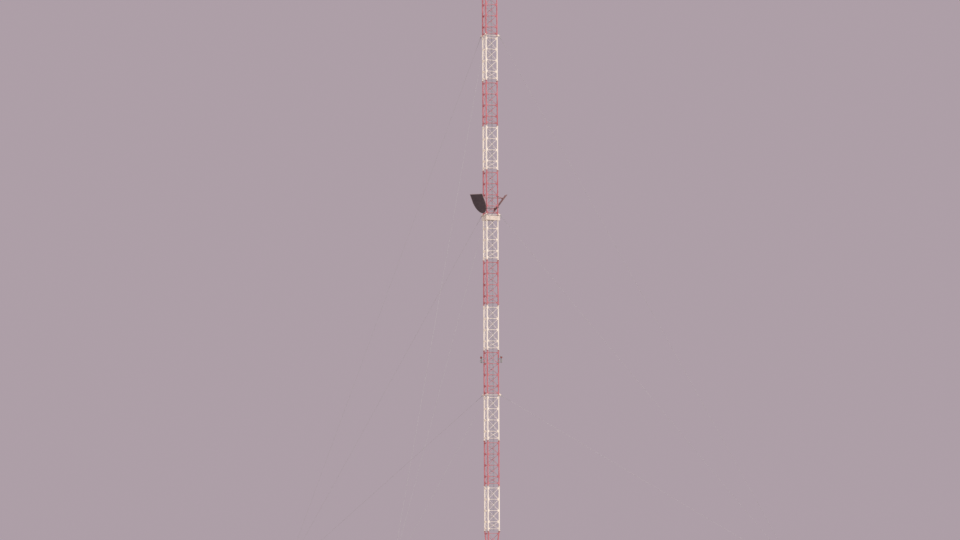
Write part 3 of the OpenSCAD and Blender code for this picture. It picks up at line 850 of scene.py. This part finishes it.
def reflector(which):
    """A shield-shaped sheet on a rolled rim, with its joints, cover strips and rivets"""
    form = Form()
    at = reflector_frame_at(which)
    front, back = PANEL_T / 2, -PANEL_T / 2
    edge, lip = 0.002, 0.005

    def level(inset, y):
        return [(x, y, z) for x, z in shield(inset)]

    form.skin([level(RIM_W, front - lip), level(RIM_W, back + lip), level(RIM_W, back), level(edge, back),
               level(0, back + edge), level(0, front - edge), level(edge, front), level(RIM_W, front)],
              1, at, closed=True)
    form.skin([level(RIM_W - 0.004, back + 0.0015), level(RIM_W - 0.004, front - 0.004)], 1, at)
    form.skin([level(RIM_W - 0.002, front - 0.0045), level(RIM_W - 0.002, front - 0.0015)], 0, at)
    strip_h, strip_step, strip_room = 0.040, 0.033, 0.035
    for z in SHEET_JOINT_Z:
        half = PANEL_W / 2 * math.sqrt(1 - max(0.0, (PANEL_ROUND - z) / PANEL_ROUND) ** 2) - RIM_W
        form.box((2 * half, 0.004, strip_h), at @ shift(0, front - 0.0018, z), 0.0006)
        count = int(half / strip_room)
        for k in range(-count, count + 1):
            for dz in (-0.011, 0.011):
                rivet(form, at @ shift(k * strip_step, front + 0.0002, z + dz) @ turn(-90, "X"))
    outline = shield(RIM_W / 2, 60)
    rivet_step = 0.055
    for (x0, z0), (x1, z1) in zip(outline, outline[1:] + outline[:1]):
        parts = max(1, round(math.hypot(x1 - x0, z1 - z0) / rivet_step))
        for k in range(parts):
            x, z = x0 + (x1 - x0) * k / parts, z0 + (z1 - z0) * k / parts
            rivet(form, at @ shift(x, front, z) @ turn(-90, "X"), 1)
            rivet(form, at @ shift(x, back, z) @ turn(90, "X"), 1)
    rib_rivets, first_z, rib_step = 7, 0.36, 0.185
    for s in (-1, 1):
        for k in range(rib_rivets):
            for dx in (-0.022, 0.022):
                spot = at @ shift(s * RIB_X + dx, back + 0.0015, first_z + k * rib_step)
                rivet(form, spot @ turn(90, "X"), 1)
    return form.make(f"{which}_reflector_panel", [shaded_face_sheet, back_sheet],
                     [which + "_reflector"])


def rivet(form, at, finish=0):
    """A flat rivet head on the XY plane of at"""
    form.lathe([(0.0045, 0), (0.0040, 0.0018), (0.0016, 0.0030)], at, 8, finish)


def frame_bolts(which):
    """Plates and bolts where a reflector's ribs cross, hinge washers and end caps, and strut bolts"""
    form = Form()
    at = reflector_frame_at(which)
    rib_y = -PANEL_T / 2 - RIB_H
    hinge_y = rib_y - HINGE_OFF
    hinge_r = HINGE_D / 2
    plate_t = 0.006
    for z in RIB_CROSS_Z:
        for s in (-1, 1):
            form.bolt(at @ shift(s * RIB_X, rib_y, z) @ turn(90, "X"), 0.012)
            plate = at @ shift(s * (RIB_X - 0.050), rib_y, z) @ turn(90, "X")
            form.plate(rectangle(-0.065, -0.014, 0.060, 0.014), plate_t, plate)
            form.bolt(plate @ shift(-0.045, 0, plate_t / 2), 0.009)
    for s in (-1, 1):
        for side in (-1, 1):
            washer = at @ shift(s * HINGE_X + side * 0.017, hinge_y, RIB_CROSS_Z[0]) @ turn(90, "Y")
            form.ring(hinge_r + 0.0005, hinge_r + 0.012, 0.002, washer)
        cap = at @ shift(s * HINGE_REACH, hinge_y, RIB_CROSS_Z[0]) @ turn(90 * s, "Y")
        cap_r = hinge_r + 0.003
        form.lathe([(cap_r, -0.020), (cap_r, -0.001), (hinge_r - 0.004, 0.0)], cap, 24)
        for dz in (0.026, -0.026):
            form.bolt(at @ shift(s * HINGE_X, rib_y - 0.0122, RIB_CROSS_Z[2] + dz) @ turn(90, "X"), 0.010)
    return form.make(f"{which}_reflector_bolts", [shaded_oxide, bolt_steel])


def clamp_bolts(which, legs):
    """Ears and bolts on the clamps round the legs"""
    form = Form()
    at = reflector_frame_at(which)
    hinge = at @ Vector((0, -PANEL_T / 2 - RIB_H - HINGE_OFF, RIB_CROSS_Z[0]))
    strut_z = joint_z(REFLECTOR_JOINT) + STRUT_RISE + REFLECTORS[which][0][2]
    half_t = 0.013
    for leg in legs:
        for z in (hinge.z, strut_z):
            clamp = shift(*polar(leg_r, LEG_AZ[leg], z)) @ turn(LEG_AZ[leg] + CLAMP_EAR_TURN)
            for s in (-1, 1):
                ear = clamp @ turn(90 + 90 * s) @ shift(LEG_D / 2 + 0.030)
                form.box((0.040, 2 * half_t, 0.060), ear, 0.002)
                for dz in (-0.016, 0.016):
                    form.bolt(ear @ shift(0.004, half_t, dz) @ turn(-90, "X"), 0.010, tail=0.004)
                    form.bolt(ear @ shift(0.004, -half_t, dz) @ turn(90, "X"), 0.010)
    return form.make(f"{which}_reflector_clamp_bolts", [shaded_oxide, bolt_steel])


def girder_details():
    """Stiffeners inside the channel girder, splice plates on its web, and their bolts"""
    form = Form()
    low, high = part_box("reflector_girder")
    middle, half = (low.z + high.z) / 2, (high.z - low.z) / 2
    stiffener_top, splice_end, splice_t = half - 0.009, half - 0.03, 0.008
    out = high.y
    for name in LEGS:
        face = turn(LEG_AZ[name] + 180)
        for k in range(-3, 4):
            at = face @ shift(out - 0.033, k * 0.145, middle) @ turn(90, "X")
            form.plate(rectangle(-0.021, -stiffener_top, 0.024, stiffener_top), 0.007, at)
        for s in (-1, 1):
            at = face @ shift(out + 0.0035, s * 0.30, middle) @ turn(90, "Y")
            form.plate(rectangle(-splice_end, -0.075, splice_end, 0.075), splice_t, at)
            for x in (-0.080, -0.027, 0.027, 0.080):
                for y in (-0.050, 0.050):
                    form.bolt(at @ shift(x, y, splice_t / 2), 0.010)
        for s in (-1, 1):
            form.bolt(face @ shift(out - 0.030, s * 0.50, high.z), 0.012)
    return form.make("reflector_girder_details", [grimy_and_shaded_white, bolt_steel])


for reflector_name, carrying_legs in {"front": "ba", "rear": "ac"}.items():
    reflector(reflector_name)
    frame_bolts(reflector_name)
    clamp_bolts(reflector_name, carrying_legs)
girder_details()


# Ladder, conduit and lamps

def ladder_clips():
    """Clips and bent rods that hold the ladder's rails to the girts"""
    form = Form()
    rail_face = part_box("ladder_lower")[1].y
    half_bow = [(-0.006, 0.019), (0.022, 0.019), (0.034, 0.008)]
    bow = [(y, -dz) for y, dz in half_bow] + half_bow[::-1]
    for n in range(2, SECTION_COUNT + 1):
        for h in girt_heights():
            z = joint_z(n - 1) + h
            for s in (-1, 1):
                x = s * (LADDER_W / 2 + RAIL_T + 0.003)
                form.box((0.006, 0.030, 0.044), shift(x, rail_face - 0.014, z), 0.001)
                form.tube([(x + s * 0.006, rail_face + y, z + dz) for y, dz in bow], 0.006, 6, 1)
                form.bolt(shift(x + s * 0.003, rail_face - 0.018, z) @ turn(90 * s, "Y"), 0.007)
    return form.make("ladder_clips", [steel, bolt_steel])


def conduit():
    """Round conduit up the mast with its couplings and saddles"""
    form = Form()
    low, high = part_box("lamp_conduit")
    middle = (low + high) / 2
    form.bar((middle.x, middle.y, low.z), (middle.x, middle.y, high.z), CONDUIT_D, 16)
    r, coupling_r, half_l, saddle_r = CONDUIT_D / 2, 0.015, 0.022, 0.014
    for k in range(1, int((high.z - low.z) / COUPLING_STEP)):
        at = shift(middle.x, middle.y, low.z + COUPLING_STEP * k - 0.4)
        form.lathe([(r, -half_l), (coupling_r, -0.020), (coupling_r, 0.020), (r, half_l)], at, 16)
    for n in range(2, SECTION_COUNT + 1):
        for h in girt_heights():
            z = joint_z(n - 1) + h
            form.ring(0.0118, saddle_r, 0.008, shift(middle.x, middle.y, z), 16)
            for s in (-1, 1):
                form.box((0.016, 0.003, 0.016), shift(middle.x + s * 0.019, high.y - 0.0015, z))
                screw = shift(middle.x + s * 0.020, high.y - 0.003, z) @ turn(90, "X")
                form.bolt(screw, 0.005, washer=False)
    return form.make("lamp_conduit_round", [steel, bolt_steel], ["lamp_conduit"])


def lamp_lens(form, at, diameter, height, finish):
    """A ribbed lens, with its bottom at the origin of at"""
    r, groove_r = diameter / 2, diameter / 2 - 0.004
    profile = [(groove_r, 0)]
    for k in range(LENS_RIBS):
        start, middle, end = (height * (k + share) / LENS_RIBS for share in (0, 0.5, 1))
        profile += [(groove_r, start + 0.001), (r, middle), (groove_r, end - 0.001)]
    form.lathe(profile, at, 32, finish)


def lamp_clamp(form, at, side):
    """A clamp round a leg with its two ears and their bolts, and the arm that it holds"""
    outer = LEG_D / 2 + 0.016
    form.ring(LEG_D / 2 + SEAT_GAP, outer, 0.032, at)
    form.bar(at @ Vector((side * LEG_D / 2, 0, 0)), at @ Vector((side * LAMP_REACH, 0, 0)), 0.020, 12)
    for dy in (-1, 1):
        ear = at @ shift(0, dy * outer, 0)
        form.box((0.030, 0.018, 0.054), ear, 0.002)
        for dz in (-0.014, 0.014):
            form.bolt(ear @ shift(0.015, 0, dz) @ turn(90, "Y"), 0.009)


def lamp_box(form, at):
    """A lamp's box with its lid, its front cover on four screws, and its gland"""
    w, d, h = LAMP_BOX
    form.box((w, d, h), at, 0.006)
    form.box((w + 0.006, d + 0.006, 0.012), at @ shift(z=0.094), 0.002)
    form.box((0.110, 0.006, 0.150), at @ shift(y=-d / 2), 0.002)
    for x in (-0.044, 0.044):
        for dz in (-0.063, 0.063):
            form.bolt(at @ shift(x, -0.0595, dz) @ turn(90, "X"), 0.006, washer=False)
    form.lathe([(0.012, -0.110), (0.014, -0.108), (0.014, -0.090)], at @ shift(x=0.030), 12, 1)


def side_lamps():
    """Two lamps on short pipes off the legs A and C, each with its clamps, box and cap"""
    form = Form()
    z = joint_z(LAMP_JOINT) + girt_heights()[LAMP_GIRT] + LAMP_RISE
    r = LAMP_D / 2
    rim_r, lens_z = r + 0.012, 0.022
    cap_z = lens_z + LAMP_LENS_H
    for leg, side in (("a", -1), ("c", 1)):
        leg_at = polar(leg_r, LEG_AZ[leg], z)
        place = shift(leg_at.x + side * LAMP_REACH, leg_at.y, z)
        for s in (-1, 1):
            lamp_clamp(form, shift(*leg_at) @ shift(z=s * LAMP_ARM_Z), side)
        form.lathe([(0.022, -LAMP_ARM_Z - 0.040), (0.022, LAMP_ARM_Z + 0.030)], place, 20)
        lamp_box(form, place @ shift(z=-LAMP_ARM_Z + 0.070))
        lamp = place @ shift(z=LAMP_ARM_Z + 0.025)
        rim = [(0.030, 0), (r + 0.006, 0.004), (rim_r, 0.010), (rim_r, 0.020), (r, lens_z)]
        form.lathe(rim, lamp, 32)
        lamp_lens(form, lamp @ shift(z=lens_z), LAMP_D, LAMP_LENS_H, 2)
        cap = [(r + 0.003, 0), (r + 0.003, 0.006), (r * 0.8, 0.032), (r * 0.4, 0.048), (0.006, 0.052)]
        form.lathe([(cap_r, cap_z + h) for cap_r, h in cap], lamp, 32)
    return form.make("side_lamps_dressed", [steel, bolt_steel, red_glass], ["side_lamps"])


def beacon():
    """Beacon on the top frame: bolted base, ribbed lens behind three guard rods, and domed cap"""
    form = Form()
    low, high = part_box("top_beacon")
    at = shift(z=low.z)
    r, lens_z = BEACON_D / 2, 0.070
    cap_z = lens_z + BEACON_LENS_H
    form.lathe([(r + 0.028, 0), (r + 0.030, 0.002), (r + 0.030, 0.010), (r + 0.028, 0.012),
                (r + 0.006, 0.014), (r + 0.004, lens_z - 0.004), (r + 0.001, lens_z)], at, 48)
    for k in range(6):
        form.bolt(at @ turn(60 * k + 30) @ shift(r + 0.017, 0, 0.012), 0.008)
    lamp_lens(form, at @ shift(z=lens_z), BEACON_D, BEACON_LENS_H, 2)
    top = high.z - low.z
    form.lathe([(r + 0.003, cap_z), (r + 0.003, cap_z + 0.008), (BEACON_D * 0.40, top - 0.022),
                (BEACON_D * 0.20, top - 0.004), (0.010, top)], at, 48)
    for k in range(3):
        side = at @ turn(120 * k)
        start, end = (side @ Vector((r + 0.0015, 0, z)) for z in (lens_z - 0.004, cap_z + 0.004))
        form.bar(start, end, 0.004, 8, 1)
    return form.make("top_beacon_dressed", [steel, bolt_steel, red_glass], ["top_beacon"])


def top_bolts():
    """Bolts on the top frame's flanges, and the lightning rod's clamp"""
    form = Form()
    for name in LEGS:
        flange_bolts(form, shift(*polar(leg_r, LEG_AZ[name], mast_top + FLANGE_T)) @ turn(LEG_AZ[name]))
    rod = shift(*polar(leg_r, LEG_AZ["c"], mast_top + FLANGE_T))
    form.lathe([(0.0235, 0.040), (0.0235, 0.058), (0.016, 0.064)], rod, 16, 1)
    return form.make("top_bolts", [steel, bolt_steel])


ladder_clips()
conduit()
side_lamps()
beacon()
top_bolts()


# Finishes of the CAD pieces that stay

def dress(node, material):
    """Gives a CAD piece its finish"""
    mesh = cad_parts[node].data
    mesh.materials.clear()
    mesh.materials.append(material)


for node_name in ["pivot_base", "ladder_lower", "ladder_upper"] + ["anchor_shaft_" + leg for leg in LEGS]:
    dress(node_name, steel)
for reflector_name in REFLECTORS:
    dress(reflector_name + "_reflector_frame", shaded_oxide)
    dress(reflector_name + "_reflector_mount", shaded_oxide)
dress("reflector_girder", grimy_and_shaded_white)
dress("top_frame", red)
for level_name, joint in GUY_JOINTS.items():
    dress("guy_collar_" + level_name, band(joint))


# Ground, sky, light and camera

SKY = (0.420, 0.345, 0.388)
SKY_LIGHT = (1.0, 0.95, 0.93)
SKY_STRENGTH = 0.90
GROUND = (0.58, 0.52, 0.54)
GROUND_R = 500.0
SUN_AZ = 342
SUN_ELEVATION = 36
SUN_ENERGY = 1.85
SUN_WIDTH = 10
SUN_LIGHT = (1.0, 0.955, 0.89)
CAMERA_AZ = 287
CAMERA_DISTANCE = 300.07
CAMERA_HEIGHT = 0.8
CAMERA_PITCH = 3.776
CAMERA_PAN = 0.1215
CAMERA_ROLL = -0.25
LENS = 169.5
CLIP = (1.0, 3000.0)


def seen_mix(tree, seen, lit):
    """Joins two shaders, so that camera, mirror and glass rays meet the first"""
    path = tree.nodes.new("ShaderNodeLightPath")
    total = path.outputs["Is Camera Ray"]
    for name in ("Is Glossy Ray", "Is Transmission Ray"):
        both = tree.nodes.new("ShaderNodeMath")
        both.operation = "MAXIMUM"
        tree.links.new(total, both.inputs[0])
        tree.links.new(path.outputs[name], both.inputs[1])
        total = both.outputs[0]
    mix = tree.nodes.new("ShaderNodeMixShader")
    tree.links.new(total, mix.inputs[0])
    tree.links.new(lit.outputs[0], mix.inputs[1])
    tree.links.new(seen.outputs[0], mix.inputs[2])
    return mix.outputs[0]


def sky():
    """A plain sky as the camera sees it, and an even light from all round"""
    world = bpy.data.worlds.new("sky")
    bpy.context.scene.world = world
    world.use_nodes = True
    tree = world.node_tree
    tree.nodes.clear()
    seen, lit = (tree.nodes.new("ShaderNodeBackground") for _ in range(2))
    seen.inputs[0].default_value = (*SKY, 1)
    lit.inputs[0].default_value = (*SKY_LIGHT, 1)
    lit.inputs[1].default_value = SKY_STRENGTH
    out = tree.nodes.new("ShaderNodeOutputWorld")
    tree.links.new(seen_mix(tree, seen, lit), out.inputs[0])


def ground():
    """A wide pale floor"""
    form = Form()
    form.lathe([(GROUND_R, -0.05), (GROUND_R, 0.0)], Matrix(), 128)
    mesh = form.mesh("ground")
    floor = bpy.data.objects.new("ground", mesh)
    bpy.context.scene.collection.objects.link(floor)
    f = Finish("ground", roughness=0.95)
    mottled = f.blend(f.noise(0.9, 5), tuple(c * 0.96 for c in GROUND), tuple(c * 1.04 for c in GROUND))
    mesh.materials.append(f.done(mottled))


def sun():
    """A soft sun"""
    light = bpy.data.lights.new("sun", "SUN")
    light.energy = SUN_ENERGY
    light.angle = math.radians(SUN_WIDTH)
    light.color = SUN_LIGHT
    lamp = bpy.data.objects.new("sun", light)
    toward = polar(math.cos(math.radians(SUN_ELEVATION)), SUN_AZ, math.sin(math.radians(SUN_ELEVATION)))
    lamp.rotation_euler = toward.to_track_quat("Z", "Y").to_euler()
    bpy.context.scene.collection.objects.link(lamp)


def camera():
    """The camera, turned from its aim at the mast by the pitch, pan and roll"""
    data = bpy.data.cameras.new("camera")
    data.lens = LENS
    data.clip_start, data.clip_end = CLIP
    eye = bpy.data.objects.new("camera", data)
    place = shift(*polar(CAMERA_DISTANCE, CAMERA_AZ, CAMERA_HEIGHT)) @ turn(CAMERA_AZ - 270 + CAMERA_PAN)
    eye.matrix_world = place @ turn(90 + CAMERA_PITCH, "X") @ turn(CAMERA_ROLL)
    bpy.context.scene.collection.objects.link(eye)
    bpy.context.scene.camera = eye


sky()
ground()
sun()
camera()
bpy.context.scene.view_settings.view_transform = "Standard"
